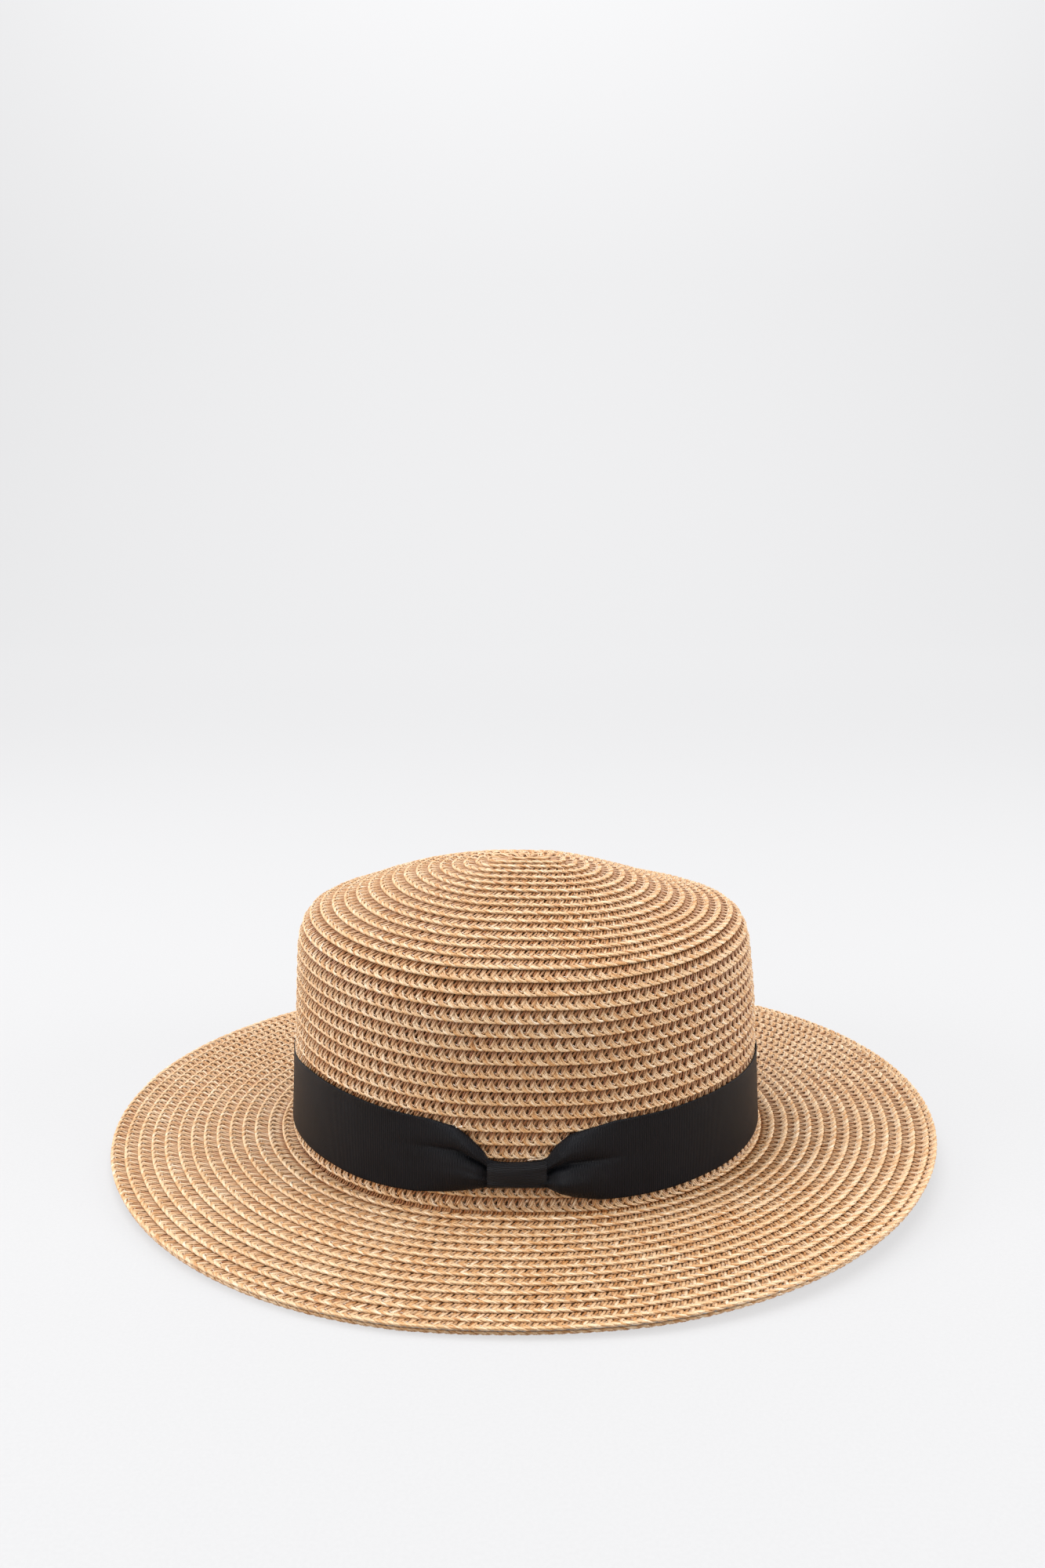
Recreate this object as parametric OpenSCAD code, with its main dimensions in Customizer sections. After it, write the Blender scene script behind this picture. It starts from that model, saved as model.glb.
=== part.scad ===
// Straw sun hat, boater style: a spiral of sewn paper braid, a ribbon with a
// pinched bow, a wired brim edge and an inner sweatband.
// Millimetres. +Z up, the hat rests on the underside of its brim edge at z = 0.
// Origin: middle of the brim's outline, on the resting plane.
// The long axis of the head oval runs along X; the bow faces -Y.

/* [Head oval] */
// Half length of the straight stretch where the braid starts
straight = 11; // [5:0.5:16]
// Outer half width (Y) of the crown where it meets the brim
base_r = 87; // [82:0.5:94]
// Outer half width (Y) of the crown at the top of its upright side
top_r = 83; // [78:0.5:87]

/* [Crown] */
// Height of the brim's top face at the foot of the crown
foot_z = 3.0; // [3:0.1:12]
// Height of the top of the upright side, where the shoulder starts
side_z = 80.8; // [72:0.2:90]
// Height of the middle of the tip
tip_z = 117.3; // [112:0.1:126]
// Radius of the shoulder between side and tip
shoulder_r = 15; // [10:1:18]
// Thickness of the sewn braid
braid_t = 2.2; // [1.8:0.1:2.6]
// Visible width of one braid row
row_w = 5.15; // [4.6:0.05:5.8]

/* [Brim] */
// Width of the brim from the crown's foot to the outer edge
brim_w = 72.4; // [60:0.2:85]
// Height of the brim's top face at its outer edge
edge_top_z = 3.4; // [3.3:0.1:5]
// Width of the last turn's half that is folded under the edge
fold_w = 6.5; // [5:0.5:8]
// Width of the rim where the last turn bends round the wire
rim_w = 2.6; // [2.4:0.1:3.2]
// Diameter of the wire in the folded edge
wire_d = 1.0; // [0.8:0.1:1.2]
// Outer diameter of the sleeve that joins the wire's ends
sleeve_d = 1.8; // [1.6:0.1:2]
// Length of the sleeve
sleeve_len = 14; // [10:1:17]

/* [Ribbon] */
// Width of the ribbon
ribbon_w = 31.5; // [28:0.5:36]
// Thickness of the ribbon with its gathers
ribbon_t = 0.8; // [0.6:0.1:1.2]
// Height of the ribbon's lower edge at the foot of the crown
ribbon_z = 6.4; // [5:0.2:12]
// Width of the knot across the bow
knot_w = 21; // [14:1:24]
// Height of the knot, where the ribbon is pinched
knot_h = 10.4; // [8:0.2:13]
// Thickness of the knot in front of the pinched ribbon
knot_t = 2.4; // [1.5:0.1:3.5]
// X position of the middle of the bow
bow_x = -2.6; // [-10:0.2:10]
// Length over which the ribbon closes down to the knot on each side
flare = 24; // [16:1:30]

/* [Inside] */
// Width of the sweatband tape
tape_w = 28; // [22:1:32]
// Thickness of the sweatband tape
tape_t = 0.8; // [0.6:0.1:1.2]
// Number of stitches along the sweatband
tape_stitches = 88; // [60:2:110]
// Length of the blank label, from its sewn edge to its free edge
label_len = 34; // [24:1:40]
// Height of the blank label
label_h = 20; // [14:1:24]

/* [Hidden] */
$fn = 96;
c = straight;
straw = [0.80, 0.64, 0.43];
black = [0.05, 0.05, 0.06];
clear = [0.85, 0.87, 0.88];

// ---- profile of the outer face, as [radius, height] -------------------------
// Lean of the side, and the circle of the shoulder that touches it.
lean = atan2(base_r - top_r, side_z - foot_z);
sh_c = [top_r - shoulder_r * cos(lean), side_z - shoulder_r * sin(lean)];
// The tip is a very flat cone that rounds off in the middle.
tip_a = 17;
sh_end = sh_c + shoulder_r * [sin(tip_a), cos(tip_a)];
function shoulder(d = 0, n = 8) = [for (i = [0:n]) let (a = lean + (90 - tip_a - lean) * i / n)
    sh_c + (shoulder_r - d) * [cos(a), sin(a)]];
// Tip profile: slope tip_a at the shoulder end, easing to flat at the middle.
function tip_pt(u, d = 0) = let (r = sh_end[0] * u, rise = tip_z - sh_end[1])
    [r - d * sin(tip_a) * u, tip_z - rise * (pow(u, 1.1)) - d];
function tip_line(d = 0, n = 14) = [for (i = [0:n]) tip_pt(1 - i / n, d)];
function side_x(z, d = 0) = base_r - (z - foot_z) * tan(lean) - d / cos(lean);

// ---- an oval ring or cap from a profile --------------------------------------
// Two half turns joined by straight runs; the profile is drawn as [radius, z].
module oval() {
    for (s = [-1, 1])
        translate([s * c, 0, 0]) rotate([0, 0, s * -90]) rotate_extrude(angle = 180) children();
    for (s = [0, 1]) mirror([0, s, 0])
        rotate([90, 0, 90]) linear_extrude(2 * c, center = true) children();
}

// ---- straw --------------------------------------------------------------------
module crown_tip() {
    color(straw) oval() polygon(concat(
        tip_line(), [[0, tip_z - braid_t]],
        [for (i = [1:14]) tip_pt(i / 14, braid_t)]));
}

module crown_side() {
    inner = shoulder(braid_t);
    color(straw) oval() polygon(concat(
        [[base_r, foot_z]], shoulder(),
        [tip_pt(1, braid_t)],
        [for (i = [len(inner) - 2:-1:0]) inner[i]],
        [[side_x(foot_z - braid_t, braid_t), foot_z - braid_t], [base_r, foot_z - braid_t]]));
}

edge_r = base_r + brim_w;
brim_slope = (foot_z - edge_top_z) / brim_w;
function top_z(r) = foot_z + (base_r - r) * brim_slope;
rim_in = edge_r - rim_w;
module brim() {
    color(straw) oval() polygon([
        [base_r, foot_z], [rim_in, top_z(rim_in)],
        [rim_in, top_z(rim_in) - braid_t], [base_r, foot_z - braid_t]]);
}

// The last turn bends round the wire: a rim as thick as the whole edge, and a
// flat leg sewn under the brim.
wire_r = edge_r - 1.3;
wire_z = edge_top_z / 2;
module brim_edge_row() {
    leg_r = edge_r - fold_w;
    color(straw) difference() {
        oval() polygon([
            [leg_r, top_z(leg_r) - braid_t], [rim_in, top_z(rim_in) - braid_t],
            [rim_in, top_z(rim_in)], [edge_r - 0.9, edge_top_z],
            [edge_r - 0.2, edge_top_z - 0.5], [edge_r, edge_top_z - 1.2],
            [edge_r, 1.1], [edge_r - 0.3, 0.3], [edge_r - 0.8, 0], [leg_r, 0]]);
        oval() translate([wire_r, wire_z]) circle(d = wire_d, $fn = 32);
        translate([0, wire_r, wire_z]) rotate([0, 90, 0])
            cylinder(d = sleeve_d, h = sleeve_len, center = true, $fn = 32);
    }
}

module edge_wire() {
    color("silver") oval() translate([wire_r, wire_z]) circle(d = wire_d, $fn = 32);
}

module wire_sleeve() {
    color("silver") translate([0, wire_r, wire_z]) rotate([0, 90, 0]) difference() {
        cylinder(d = sleeve_d, h = sleeve_len, center = true, $fn = 32);
        cylinder(d = wire_d, h = sleeve_len + 1, center = true, $fn = 32);
    }
}

// ---- chain stitch under the rows: one turn per row ------------------------------
thread_w = 0.6; // width of the stitch line
thread_h = 0.3; // height it stands out
module seam_thread() {
    brim_rows = floor((brim_w - fold_w - 4) / row_w);
    side_rows = floor((side_z - foot_z - tape_w - 6) / row_w);
    color(clear) {
        for (i = [1:brim_rows]) let (r = base_r + i * row_w, z = top_z(r) - braid_t)
            oval() polygon([[r, z], [r + thread_w, top_z(r + thread_w) - braid_t],
                [r + thread_w, z - thread_h], [r, z - thread_h]]);
        for (i = [0:side_rows]) let (z = foot_z + tape_w + 3 + i * row_w)
            oval() polygon([[side_x(z, braid_t), z], [side_x(z + thread_w, braid_t), z + thread_w],
                [side_x(z + thread_w, braid_t + thread_h), z + thread_w], [side_x(z, braid_t + thread_h), z]]);
    }
}

// ---- ribbon -----------------------------------------------------------------------
pinch_z = ribbon_z + ribbon_w * 0.35;
module ribbon_body() {
    z0 = ribbon_z;
    z1 = ribbon_z + ribbon_w;
    oval() polygon([[side_x(z0), z0], [side_x(z1), z1],
        [side_x(z1) + ribbon_t, z1], [side_x(z0) + ribbon_t, z0]]);
}

// What is cut away above (up = 1) or below (up = -1) the pinch, seen from the
// front: the ribbon's edge closes down to just inside the knot on both sides.
module pinch_cut(up, full_z, bend) {
    near_z = pinch_z + up * (knot_h / 2 - 0.6);
    edge = [for (i = [0:10]) let (u = i / 10)
        [knot_w / 2 - 2 + u * flare, near_z + (full_z - near_z) * pow(u, bend)]];
    polygon(concat(
        [for (i = [10:-1:0]) [-edge[i][0], edge[i][1]]], edge,
        [[knot_w / 2 - 2 + flare, full_z + up * 3], [-knot_w / 2 + 2 - flare, full_z + up * 3]]));
}

module hat_band() {
    color(black) difference() {
        ribbon_body();
        translate([bow_x, -base_r / 2, 0]) rotate([90, 0, 0]) linear_extrude(base_r) {
            pinch_cut(1, ribbon_z + ribbon_w, 0.5);
            pinch_cut(-1, ribbon_z, 0.6);
        }
    }
}

// The knot wraps the pinched ribbon: a half-round pad along X.
module bow_knot() {
    y0 = -side_x(pinch_z - knot_h / 2) - ribbon_t;
    color(black) translate([bow_x, y0, pinch_z]) rotate([0, 90, 0])
        linear_extrude(knot_w, center = true)
            polygon([for (i = [0:12]) let (a = 180 * i / 12)
                [knot_h / 2 * cos(a), -knot_t * sqrt(sin(a) + 0.0001)]]);
}

// Clear nylon tacks: one over the ribbon's top edge left of the knot, one above
// the knot, then one at each side and at the back.
module tack(len) {
    rotate([0, 90, 0]) cylinder(d = 0.5, h = len, center = true, $fn = 16);
}
function front_y(x, r) = -sqrt(r * r - pow(max(abs(x) - c, 0), 2));

module band_tacks() {
    z = ribbon_z + ribbon_w - 1.5;
    far = side_x(z) + ribbon_t + 0.3;
    color(clear) {
        translate([bow_x - 20, front_y(bow_x - 20, far + 0.3), z - 2]) rotate([0, 0, -7]) tack(4.4);
        translate([bow_x + 5.4, -side_x(pinch_z + knot_h / 2 + 1) - 0.25, pinch_z + knot_h / 2 + 1]) tack(4);
        for (s = [-1, 1]) translate([s * (c + far + 0.1), 0, z]) rotate([0, 0, 90]) tack(4);
        translate([4, far, z]) tack(4);
    }
}

// ---- inside ---------------------------------------------------------------------------
tape_z = foot_z - braid_t + 1;
module sweatband() {
    z0 = tape_z;
    z1 = tape_z + tape_w;
    color("dimgray") oval() polygon([
        [side_x(z0, braid_t), z0], [side_x(z1, braid_t), z1],
        [side_x(z1, braid_t + tape_t), z1], [side_x(z0, braid_t + tape_t), z0]]);
}

// Point on the oval at a share of its way round, with the direction there.
function oval_at(r, u) = let (half = PI * r, run = 2 * c, p = u * (2 * half + 2 * run))
    p < half ? [c + r * cos(-90 + 180 * p / half), r * sin(-90 + 180 * p / half), 180 * p / half]
    : p < half + run ? [c - (p - half), r, 180]
    : p < 2 * half + run ? [-c + r * cos(90 + 180 * (p - half - run) / half), r * sin(90 + 180 * (p - half - run) / half), 180 + 180 * (p - half - run) / half]
    : [-c + (p - 2 * half - run), -r, 0];

module sweatband_stitching() {
    z = tape_z + 3;
    r = side_x(z, braid_t + tape_t) - 0.25;
    color("gainsboro") for (i = [0:tape_stitches - 1]) let (q = oval_at(r, (i + 0.5) / tape_stitches))
        translate([q[0], q[1], z]) rotate([0, 90, q[2]])
            cylinder(d = 0.5, h = 3.6, center = true, $fn = 16);
}

// Blank label caught at the back of the sweatband; it turns on its sewn edge.
label_x = c + side_x(tape_z + 5 + label_h, braid_t + tape_t) - 0.6;
label_a = 15;
module care_label() {
    color("white") translate([label_x, 0, tape_z + 5]) rotate([0, 0, label_a])
        translate([-0.2, 0, 0]) cube([0.4, label_len, label_h]);
}

crown_tip();
crown_side();
brim();
brim_edge_row();
edge_wire();
wire_sleeve();
seam_thread();
hat_band();
bow_knot();
band_tacks();
sweatband();
sweatband_stitching();
care_label();
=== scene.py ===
import math

import bpy
import numpy as np
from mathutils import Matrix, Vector


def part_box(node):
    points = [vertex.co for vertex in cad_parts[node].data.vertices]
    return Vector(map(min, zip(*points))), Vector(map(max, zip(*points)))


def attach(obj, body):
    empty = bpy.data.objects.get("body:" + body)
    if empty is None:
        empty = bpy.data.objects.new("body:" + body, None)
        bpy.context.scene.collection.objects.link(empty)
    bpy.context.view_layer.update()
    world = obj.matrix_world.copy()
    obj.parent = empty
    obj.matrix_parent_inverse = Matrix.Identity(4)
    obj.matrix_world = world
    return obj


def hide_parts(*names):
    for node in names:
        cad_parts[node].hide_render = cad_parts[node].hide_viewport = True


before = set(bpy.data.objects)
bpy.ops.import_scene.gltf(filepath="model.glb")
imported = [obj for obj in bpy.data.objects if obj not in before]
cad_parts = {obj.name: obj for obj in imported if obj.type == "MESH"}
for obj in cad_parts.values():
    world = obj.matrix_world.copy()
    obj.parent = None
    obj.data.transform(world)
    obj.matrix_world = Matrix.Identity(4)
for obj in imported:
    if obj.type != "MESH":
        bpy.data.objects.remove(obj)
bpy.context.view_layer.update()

scene = bpy.context.scene
MM = 0.001
PI = math.pi

# ------------------------------------------------------------------ camera
cam_data = bpy.data.cameras.new("camera")
cam = bpy.data.objects.new("camera", cam_data)
scene.collection.objects.link(cam)
cam.location = (-0.000565, -0.51948, 0.2439)
cam.rotation_euler = (PI / 2 - 0.186, 0.0, 0.0)
cam_data.sensor_fit = "VERTICAL"
cam_data.sensor_height = 36.0
cam_data.sensor_width = 24.0
cam_data.lens = 29.41
cam_data.clip_start = 0.01
cam_data.clip_end = 20.0
scene.camera = cam

# ------------------------------------------------------------------ node helpers


def new_mat(name):
    m = bpy.data.materials.new(name)
    m.use_nodes = True
    nt = m.node_tree
    bsdf = nt.nodes["Principled BSDF"]
    return m, nt, bsdf


def node(nt, kind, **values):
    n = nt.nodes.new(kind)
    for k, v in values.items():
        if k.startswith("in_"):
            key = k[3:]
            n.inputs[int(key) if key.isdigit() else key.replace("_", " ")].default_value = v
        else:
            setattr(n, k, v)
    return n


def math_node(nt, op, a, b=None, clamp=False):
    n = nt.nodes.new("ShaderNodeMath")
    n.operation = op
    n.use_clamp = clamp
    for i, v in enumerate((a, b)):
        if v is None:
            continue
        if isinstance(v, (int, float)):
            n.inputs[i].default_value = v
        else:
            nt.links.new(v, n.inputs[i])
    return n.outputs[0]


def mix_colour(nt, fac, a, b):
    n = nt.nodes.new("ShaderNodeMix")
    n.data_type = "RGBA"
    for sock, v in ((n.inputs[0], fac), (n.inputs[6], a), (n.inputs[7], b)):
        if isinstance(v, (int, float)):
            sock.default_value = v
        elif isinstance(v, tuple):
            sock.default_value = v
        else:
            nt.links.new(v, sock)
    return n.outputs[2]


def ramp(nt, fac, stops):
    n = nt.nodes.new("ShaderNodeValToRGB")
    el = n.color_ramp.elements
    while len(el) > 1:
        el.remove(el[-1])
    el[0].position, el[0].color = stops[0]
    for pos, col in stops[1:]:
        e = el.new(pos)
        e.color = col
    nt.links.new(fac, n.inputs[0])
    return n.outputs[0]


def srgb(r, g, b):
    def lin(v):
        v /= 255.0
        return v / 12.92 if v <= 0.04045 else ((v + 0.055) / 1.055) ** 2.4
    return (lin(r), lin(g), lin(b), 1.0)


# ------------------------------------------------------------------ the hat's surface
# Arc length from the middle of the tip, with the slope of the outer face there,
# for the front and back (F) and for the two ends (S); lengths in mm.
FOOT_Z, TIP_Z = 3.0, 117.3
ROW = 5.153
CX = 8.3
KNOTS = np.array([0, 10, 20, 32, 44, 56, 66, 74, 80, 86, 92, 100], float)
SLOPE_F = np.array([0.0, .125, .387, .378, .307, .267, .361, .357, .887, 1.161, 1.139, 1.522])
SLOPE_S = np.array([.0, .288, .281, .257, .27, .267, .295, .246, .353, .932, 1.275, 1.519])


def profile(slopes):
    s = np.arange(0, 200.01, 0.25)
    a = np.interp(s, KNOTS, slopes)
    k = np.exp(-0.5 * (np.arange(-12, 13) / 5.0) ** 2)
    a = np.convolve(np.pad(a, 12, mode="edge"), k / k.sum(), mode="valid")
    a[s < 3] *= s[s < 3] / 3
    r = np.concatenate([[0], np.cumsum(np.cos((a[1:] + a[:-1]) / 2) * 0.25)])
    z = TIP_Z - np.concatenate([[0], np.cumsum(np.sin((a[1:] + a[:-1]) / 2) * 0.25)])
    return s, r, z


SS, RF, ZF = profile(SLOPE_F)
_, RS, ZS = profile(SLOPE_S)
FOOT_F = float(np.interp(-FOOT_Z, -ZF, SS))
FOOT_S = float(np.interp(-FOOT_Z, -ZS, SS))
R_F = float(np.interp(FOOT_F, SS, RF))
R_S = float(np.interp(FOOT_S, SS, RS))
Q_FOOT = 31.0
Q_0 = 2.52
BRIM_W = 72.4
B0, B1, B2 = -.039, -.037, -.027


def smooth(x):
    x = np.clip(x, 0, 1)
    return x * x * (3 - 2 * x)


# The tip is a touch rounder than the CAD's, and leans a little to the right.
DOME_S = [0, 10, 18, 27, 35, 43, 52, 58, 65, 72, 80, 92, 100]
DOME_SIDE = [-1.6, -1.8, -.8, .15, .65, .5, .1, -.4, -.9, -.8, -.4, 0, 0]
DOME_LEAN = [0, 0, -.35, -1.0, -1.25, -1.8, -1.7, -2.0, -1.5, -1.0, -.5, 0, 0]
# front and back: the slope that a round dome would have there
ROUND_S = [0, 20, 30, 40, 50, 60, 70, 75, 80]
ROUND_SLOPE = [0, .235, .29, .33, .355, .38, .40, .45, .60]


def soft(s, values, width=3.0):
    g = np.arange(-20, 130.01, 0.5)
    k = np.exp(-0.5 * (np.arange(-24, 25) * 0.5 / width) ** 2)
    return np.interp(s, g, np.convolve(np.pad(np.interp(g, DOME_S, values), 24, mode="edge"), k / k.sum(), mode="valid"))


def dome_front():
    g = np.arange(0, 80.01, 0.25)
    slope = np.interp(g, ROUND_S, ROUND_SLOPE)
    drop = np.concatenate([[0], np.cumsum((slope[1:] + slope[:-1]) / 2 * 0.25)])
    fall = np.interp(g, SS, ZF) - ZF[0]
    diff = -drop - fall
    end = -.4
    start = DOME_SIDE[0]
    # meets the shoulder at the same height as before
    diff = diff + start + (end - (diff[-1] + start)) * smooth(g / 80)
    s = np.concatenate([g, [92, 100]])
    return s, np.concatenate([diff, [0, 0]])


FRONT_S, DOME_FRONT = dome_front()


def sway(T, z):
    """The right end of the crown stands out a little further than the left."""
    return 1.4 * np.clip(np.cos(T), 0, 1) ** 3 * smooth((86 - z) / 30)


def surface(q, T):
    """Point of the outer face, mm, for the row coordinate q and the angle T."""
    ct, st = np.cos(T), np.sin(T)
    w2 = st * st
    foot = FOOT_F * w2 + FOOT_S * (1 - w2)
    delta = foot - (Q_FOOT + Q_0) * ROW
    s = (q + Q_0) * ROW + delta * smooth((q - 20) / (Q_FOOT - 20))
    s_c = np.clip(s, 0, foot)
    rf, zf = np.interp(s_c, SS, RF), np.interp(s_c, SS, ZF)
    rs, zs = np.interp(s_c, SS, RS), np.interp(s_c, SS, ZS)
    r = rf * w2 + rs * (1 - w2)
    z = zf * w2 + zs * (1 - w2)
    over = np.maximum(q - Q_FOOT, 0)
    d = over * ROW + 1.3 * smooth(over / 2.6)
    ang = B0 + B1 * ct + B2 * np.cos(2 * T)
    # the brim: flat, with a small round at the foot of the crown
    r = r + d * np.cos(ang)
    z = z - d * np.sin(ang)
    c = CX * np.minimum(1.0, 0.35 + s / 9.0)
    x = r * ct + c * np.clip(5 * ct, -1, 1) + sway(T, z) * (1 - smooth(d / 30))
    y = r * st
    z = z + soft(s, DOME_SIDE) * (1 - w2) + np.interp(s, FRONT_S, DOME_FRONT) * w2 + soft(s, DOME_LEAN) * ct
    return np.stack([x, y, z], -1)


def row_line_d(q):
    over = np.maximum(q - Q_FOOT, 0)
    return over * ROW + 1.3 * smooth(over / 2.6)


# The row coordinate where the brim ends.
Q_EDGE = float(np.interp(BRIM_W, row_line_d(np.arange(31, 48, 0.01)), np.arange(31, 48, 0.01)))

# ------------------------------------------------------------------ the braid
T_START = -PI / 2 - 2 * PI * (Q_0 - 0.35)
T_STEP = 2 * PI / 720


def frame_at(q, T):
    """Outer-edge point, unit vectors along the row, across it (outwards) and off the face."""
    e = 0.04
    p = surface(q, T)
    along = surface(q, T + e) - surface(q, T - e)
    across = surface(q + 0.08, T) - surface(q - 0.08, T)
    n = np.cross(across, along)
    mid = smooth(((q + Q_0) * ROW - 0.8) / 3.0)[..., None]
    n = n / (np.linalg.norm(n, axis=-1, keepdims=True) + 1e-9) * mid + np.array([0, 0, 1.0]) * (1 - mid)
    n /= np.linalg.norm(n, axis=-1, keepdims=True) + 1e-9
    return p, n


def spiral_q(T):
    return (T + PI / 2) / (2 * PI)


# Length along the spiral, measured on the middle of the strip.
T_END = 2 * PI * (Q_EDGE + 0.985) - PI / 2
TT = np.arange(T_START, T_END + T_STEP, T_STEP)
MID = surface(np.minimum(spiral_q(TT), Q_EDGE) - 0.5, TT)
LL = np.concatenate([[0], np.cumsum(np.linalg.norm(np.diff(MID, axis=0), axis=1))])
LENGTH = float(LL[-1])

PERIOD = 3.9            # from one chevron to the next
LAMBDA = 3 * PERIOD     # one strand's way from edge to edge and back
HALF = 3.80             # half width of the braid
SKEW = 0.58             # how far the chevron's point sits off the middle
FIL = 3                 # paper cords side by side in each strand
FIL_GAP = 1.02          # between them, along the row
CORD_A, CORD_B = 0.47, 0.34   # half width and half thickness of one cord
LIFT = 0.40             # half the height between crossing strands
EDGE_N = -0.66          # middle of the braid below the outer face, at its outer edge
TUCK, TUCK_K = 4.4, 1.70   # inwards of this the braid spreads out behind the row above
HOLE_X, HOLE_Y, HOLE_R = 1.90, 1.62, 0.72   # where the needle went through, once a chevron
SIDES = 5
PHASES = np.array([78, 90, 102, 138, 176, 214, 248, 262, 274, 300, 338, 376], float)
PHASES_FINE = np.array([78, 90, 102, 115, 127, 138, 151, 163, 176, 195, 214, 231, 248, 262, 274, 287, 300, 319,
                        338, 350, 363, 376, 389, 402, 414, 426], float)


def row_tilt(q):
    """How far a row's outer edge lies above the next row: less on the tip, under the ribbon and on the brim."""
    return 1.40 - 0.28 * (1 - smooth((q - 12.5) / 3)) - 0.30 * smooth((q - 24.5) / 1.5) - 0.12 * smooth((q - 32) / 2)


def row_lift(q):
    """Thickness of the weave: pressed flatter under the ribbon and on the brim."""
    return 1.0 - 0.14 * smooth((q - 24.5) / 1.5) - 0.14 * smooth((q - 31.2) / 1.5)


def plait(theta, f, half=HALF):
    """Across (mm from the outer edge, inwards) and height of one cord at phase theta, degrees."""
    th = np.radians(theta)
    u = 2 / PI * np.arcsin(0.985 * np.sin(th))
    u = u / (2 / PI * math.asin(0.985))
    x = half * (u - SKEW * (1 - u * u))
    shift = 0.5 * 360 * FIL_GAP / LAMBDA * f
    w = np.mod(theta, 360.0)
    phi = np.interp(w, [shift - 180 + 0, shift, 90, 180 + shift, 270, 360 + shift, 450],
                    [-180, 0, 90, 180, 270, 360, 450])
    n = -np.tanh(1.9 * np.sin(2 * np.radians(phi))) / math.tanh(1.9)
    # the outer ridge is pulled up by the stitching, the middle lies flatter
    ridge = 0.30 * np.exp(-((x + half - 1.1) / 0.9) ** 2)
    across = x + half
    across = np.where(across > TUCK, TUCK + (across - TUCK) * TUCK_K, across)
    flat = 1 - 0.5 * smooth((across - 5.0) / 2.0)
    return across, n * LIFT * flat + ridge, u


def tube(P, N, A, B, sides=SIDES):
    """A tube of half width A along the side vector and half thickness B along N, through P."""
    n = len(P)
    tang = np.gradient(P, axis=0)
    tang /= np.linalg.norm(tang, axis=1, keepdims=True) + 1e-12
    side = np.cross(tang, N)
    side /= np.linalg.norm(side, axis=1, keepdims=True) + 1e-12
    up = np.cross(side, tang)
    a = 2 * PI * (np.arange(sides) + 0.25) / sides
    A = np.broadcast_to(A, (n,))
    B = np.broadcast_to(B, (n,))
    V = (P[:, None, :] + side[:, None, :] * (A[:, None] * np.cos(a)[None, :])[..., None]
         + up[:, None, :] * (B[:, None] * np.sin(a)[None, :])[..., None]).reshape(-1, 3)
    i = np.arange(n - 1)[:, None] * sides
    j = np.arange(sides)[None, :]
    k = (j + 1) % sides
    F = np.stack([i + j, i + k, i + k + sides, i + j + sides], -1).reshape(-1, 4)
    return V, F


def hash01(k, salt=0.0):
    v = np.sin(k * 12.9898 + salt * 78.233) * 43758.5453
    return v - np.floor(v)


def build_braid(t0, t1, q_of, half=HALF, last=False, phases=PHASES, **where):
    """All the cords of the stretch of braid between the angles t0 and t1."""
    l0, l1 = np.interp([t0, t1], TT, LL)
    verts, faces, attrs = [], [], {"len": [], "rnd": [], "painted_shade": []}
    base = 0
    for strand in range(3):
        for fi in range(FIL):
            f = fi - (FIL - 1) / 2
            # y runs along the row and falls as the phase grows
            y_ref = f * FIL_GAP - strand * PERIOD
            th_max = (y_ref - l0) * 360 / LAMBDA
            th_min = (y_ref - l1) * 360 / LAMBDA
            k0 = math.floor(th_min / 360) - 2
            k1 = math.ceil(th_max / 360) + 2
            th = (np.arange(k0, k1)[:, None] * 360 + phases[None, :]).reshape(-1)
            a = np.searchsorted(th, th_min, "right")
            b = np.searchsorted(th, th_max, "right") + (1 if l0 > 1.0 else 0)
            if not last:
                a -= 1          # the segment that crosses into the next piece
            th = th[a:b]
            if len(th) < 3:
                continue
            y = -LAMBDA * th / 360 + y_ref
            x, n, u = plait(th, f, half)
            # the cords of a strand fan out towards the row's upper edge
            y2 = y + f * 0.20 * (u - 0.1)
            key = np.floor(th / 180.0) + strand * 17.0 + fi * 131.0
            y2 = y2 + 0.12 * np.sin(y * 0.83 + 2.1 * strand + 1.3 * fi) + 0.16 * (hash01(key) - 0.5)
            x = x + 0.10 * np.sin(y * 1.31 + 0.7 * fi + strand) * (1 - u * u)
            n = n + 0.10 * (hash01(key, 3.0) - 0.5)
            # the cords part round the stitch hole
            tx, ty = np.gradient(x), np.gradient(y2)
            tl = np.hypot(tx, ty) + 1e-9
            px, py = -ty / tl, tx / tl
            dx = x - HOLE_X
            dy = np.mod(y2 - HOLE_Y + PERIOD / 2, PERIOD) - PERIOD / 2
            push = HOLE_R * np.tanh((dx * px + dy * py) / 0.2) * np.exp(-(dx * dx + dy * dy) / 0.9)
            x, y2 = x + push * px, y2 + push * py
            T = np.interp(np.clip(y2, 0, LENGTH), LL, TT)
            P, nrm, deep = place(T, x, n, q_of, half, **where)
            # painted shade: a dark spot on the cords round each stitch hole
            deep = np.maximum(deep, np.exp(-(dx * dx + dy * dy) / 0.95))
            on_brim = smooth((q_of(T) - 31.2) / 1.5)
            A = CORD_A * (1 + 0.22 * (hash01(key, 5.0) - 0.5)) * (1 + 0.14 * on_brim)
            V, F = tube(P, nrm, A, CORD_B * (1 - 0.24 * on_brim))
            verts.append(V)
            faces.append(F + base)
            base += len(V)
            g = 0.45 * hash01(strand * 3 + fi, 1.0) + 0.30 * hash01(key, 7.0) + 0.25 * (0.5 + 0.5 * np.sin(y * 0.021 + strand * 2.1 + fi))
            attrs["len"].append(np.repeat(y, SIDES))
            attrs["rnd"].append(np.repeat(g, SIDES))
            attrs["painted_shade"].append(np.repeat(deep, SIDES))
    return np.concatenate(verts), np.concatenate(faces), {k: np.concatenate(v) for k, v in attrs.items()}


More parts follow.
